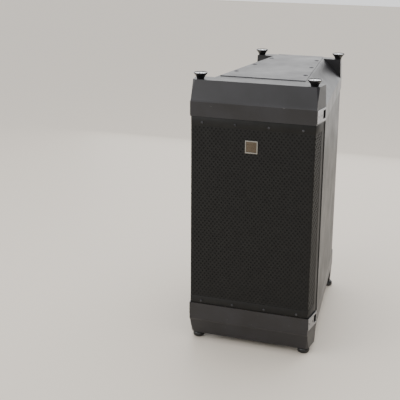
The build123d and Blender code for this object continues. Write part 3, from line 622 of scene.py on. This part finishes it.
def badge_face():
    """Slatted face: level bands raised by insetting and pushing out each row."""
    inner = half - 0.0043
    ready()
    bpy.ops.mesh.primitive_grid_add(x_subdivisions=1, y_subdivisions=9, size=1, rotation=(pi / 2, 0, 0))
    piece = bpy.context.object
    piece.scale = (2 * inner, 2 * inner, 1)
    piece.location = (badge_x, low[1] + 0.0022, badge_z)
    bpy.ops.object.transform_apply(location=True, rotation=True, scale=True)
    edit(piece)
    bpy.ops.mesh.select_mode(type="FACE")
    bpy.ops.mesh.select_all(action="SELECT")
    bpy.ops.mesh.inset(thickness=0.0006, depth=0, use_individual=True)
    bpy.ops.mesh.extrude_region_shrink_fatten(
        TRANSFORM_OT_shrink_fatten={"value": 0.0007}
    )
    apply(piece, "SOLIDIFY", thickness=0.0008, offset=-1)
    round_edges(piece, 0.0003, 2)
    return settle(piece, "badge_face_slatted")


dress(badge_rim(), "badge_rim", "badge_frame")
dress(badge_face(), "badge_face", "badge_plate")

# ---------------------------------------------------------------- screws
# Button-head screws with a six-sided socket hold the grille's margins.
GRILLE_SCREW_X = (-0.1905, -0.0635, 0.0635, 0.1905)
GRILLE_SCREW_Z = (0.1707, 0.8820)
heads = stand(turned([
    (0.0, 0.9), (2.1, 0.9), (2.3, 2.4), (2.6, 2.5), (4.0, 2.05), (4.8, 1.1), (5.0, 0.0), (0.0, 0.0),
], 18), [
    ("screw", (x, GRILLE_FRONT - 0.0003, z), FRONT)
    for x in GRILLE_SCREW_X for z in GRILLE_SCREW_Z
])
dress(join(heads, "grille_screw_heads"), "black_screw", "grille_screws")

# Countersunk screws in raised cup washers hold the roof plate and the base plate. Both plates
# narrow towards the rear, and their screws keep 98 mm in from the cabinet's sides.
RIDGE_INSET = 0.250 - 0.098  # half width between the screws at the ridge
RIDGE_Y, TAPER = -0.290, 0.070 / 0.6765  # the sides draw in by 70 mm over 676.5 mm behind the ridge
PLATE_SCREW_Y = (-0.141, 0.049, 0.240)
plate_heights = ((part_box("roof_plate")[1][2], UP), (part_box("base_plate")[0][2], DOWN))
heads = stand(turned([
    (0.0, 0.5), (2.0, 0.5), (2.2, 1.6), (5.2, 1.9), (5.5, 0.9), (6.0, 0.9), (7.6, 1.7),
    (8.9, 1.3), (9.5, 0.0), (0.0, 0.0),
], 24), [
    ("washer", (side * (RIDGE_INSET - TAPER * (y - RIDGE_Y)), y, height), way)
    for y in PLATE_SCREW_Y for side in (-1, 1) for height, way in plate_heights
])
dress(join(heads, "plate_screw_heads"), "black_screw", "plate_screws")

# ---------------------------------------------------------------- cone suspension
SECTORS = 24  # a suspension ring is built of this many sectors, each along its own radius


def suspension(name, node, profile):
    """Soft ring, meeting the cone at its inner edge and held at its outer edge, built from sectors of one
    turned profile and merged into one piece.
    """
    low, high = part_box(node)
    centre = Vector(((low[0] + high[0]) / 2, low[1], (low[2] + high[2]) / 2))
    pattern = turned(profile, 2 * SECTORS)
    edit(pattern)
    half = pi / SECTORS
    for side in (-1, 1):
        bpy.ops.mesh.select_all(action="SELECT")
        bpy.ops.mesh.bisect(
            plane_co=(0, 0, 0), plane_no=(-sin(half), side * cos(half), 0), clear_outer=True,
            threshold=0.000001,
        )
    alone(pattern)
    rearward = Matrix.Rotation(-pi / 2, 4, "X")
    sectors = []
    for step in range(SECTORS):
        turn = rearward @ Matrix.Rotation(2 * pi * step / SECTORS, 4, "Z")
        sector = bpy.data.objects.new(name, pattern.data.copy())
        bpy.context.collection.objects.link(sector)
        sector.matrix_world = Matrix.Translation(centre) @ turn
        settle(sector, name)
        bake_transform(sector)
        sectors.append(sector)
    bpy.data.objects.remove(pattern)
    piece = join(sectors, name)
    edit(piece)
    bpy.ops.mesh.select_all(action="SELECT")
    bpy.ops.mesh.remove_doubles(threshold=0.00002)
    bpy.ops.mesh.normals_make_consistent(inside=False)
    alone(piece)
    piece.data.materials.clear()
    piece.data.materials.append(FINISHES["surround_cloth"])
    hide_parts(node)
    return piece


# The surround is one half roll of doped cloth, 20 mm wide, 9 mm high and 1.5 mm thick.
ROLL_MIDDLE, ROLL_RADIUS, CLOTH = 162.0, 10.0556, 1.5
turns = [radians(84.0 * step / 7) for step in range(-7, 8)]
front = [(ROLL_MIDDLE + ROLL_RADIUS * sin(a), ROLL_RADIUS * (1 - cos(a))) for a in turns]
rear = [(radius, height + CLOTH) for radius, height in reversed(front)]
suspension("woofer_surround_roll", "woofer_surround", front + rear + front[:1])
# The spider is a flat disc of the same cloth, pressed into shallow rings 4 mm apart.
low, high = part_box("woofer_spider")
SPIDER_BORE = 51.6  # radius of the voice coil's former, in mm
rim = (high[0] - low[0]) * 500
folds = [(rim - 2.0 * step, 0.3 * (step % 2)) for step in range(int((rim - SPIDER_BORE) / 2) + 1)]
folds.append((SPIDER_BORE, 0.0))
rear = [(radius, height + 0.8) for radius, height in reversed(folds)]
suspension("woofer_spider_pressed", "woofer_spider", folds + rear + folds[:1])

# ---------------------------------------------------------------- floor, light and camera
ready()
bpy.ops.mesh.primitive_plane_add(size=30, location=(0, 0, -0.0005))
floor = bpy.context.object
floor.name = "floor"
floor_paint, tree, shader, place = start("pale_warm_floor", Roughness=0.55)
shader.inputs["Base Color"].default_value = paint("#d8cfc2")
floor.data.materials.append(floor_paint)
floor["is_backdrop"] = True

world = bpy.data.worlds.new("soft_studio")
world.use_nodes = True
bpy.context.scene.world = world
tree = world.node_tree
direction = tree.nodes.new("ShaderNodeTexCoord").outputs["Generated"]
parts = add(tree, "SeparateXYZ", [("Vector", direction)])
# The room is brightest behind the cabinet, as a white corner would be, and darker to its right.
along = add(tree, "MapRange", [("Value", parts.outputs["Y"])])
across = add(tree, "MapRange", [("Value", parts.outputs["X"])])
for node, settings in ((along, (-0.9, 0.35, 1.35, 1.3)), (across, (0.5, 0.9, 1.0, 0.2))):
    for socket, value in zip(("From Min", "From Max", "To Min", "To Max"), settings):
        node.inputs[socket].default_value = value
strength = add(tree, "Math", [(0, along.outputs[0]), (1, across.outputs[0])], operation="MULTIPLY")
background = tree.nodes["Background"]
background.inputs["Color"].default_value = (1.0, 1.0, 1.0, 1.0)
tree.links.new(strength.outputs[0], background.inputs["Strength"])


def softbox(name, place, aim, size, power):
    data = bpy.data.lights.new(name, "AREA")
    data.energy, data.shape = power, "RECTANGLE"
    data.size, data.size_y = size
    lamp = bpy.data.objects.new(name, data)
    bpy.context.collection.objects.link(lamp)
    lamp.location = place
    lamp.rotation_euler = (Vector(aim) - Vector(place)).to_track_quat("-Z", "Y").to_euler()
    lamp.visible_camera = False


softbox("overhead", (0.3, 0.2, 3.4), (0, 0, 0.5), (3.0, 3.0), 60)
softbox("front_left", (-2.6, -3.0, 2.2), (0, 0, 0.6), (1.6, 1.6), 40)
softbox("behind", (0.3, 2.8, 1.6), (0.3, 0, 1.6), (5.0, 3.0), 42)

camera_data = bpy.data.cameras.new("camera")
camera = bpy.data.objects.new("camera", camera_data)
bpy.context.collection.objects.link(camera)
# The camera looks down a little from the cabinet's right front corner. Angles in radians.
azimuth, elevation, roll = 0.32068, 0.28685, 0.01078
back = Vector((sin(azimuth) * cos(elevation), -cos(azimuth) * cos(elevation), sin(elevation)))
right = Vector((0, 0, 1)).cross(back).normalized()
up = back.cross(right)
right, up = cos(roll) * right + sin(roll) * up, -sin(roll) * right + cos(roll) * up
pose = Matrix((right, up, back)).transposed().to_4x4()
pose.translation = (0.84989, -3.38108, 1.58599)
camera.matrix_world = pose
camera_data.sensor_width = 36
camera_data.lens = 79.25
camera_data.shift_x, camera_data.shift_y = -0.0327, -0.0424
bpy.context.scene.camera = camera

low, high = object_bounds()
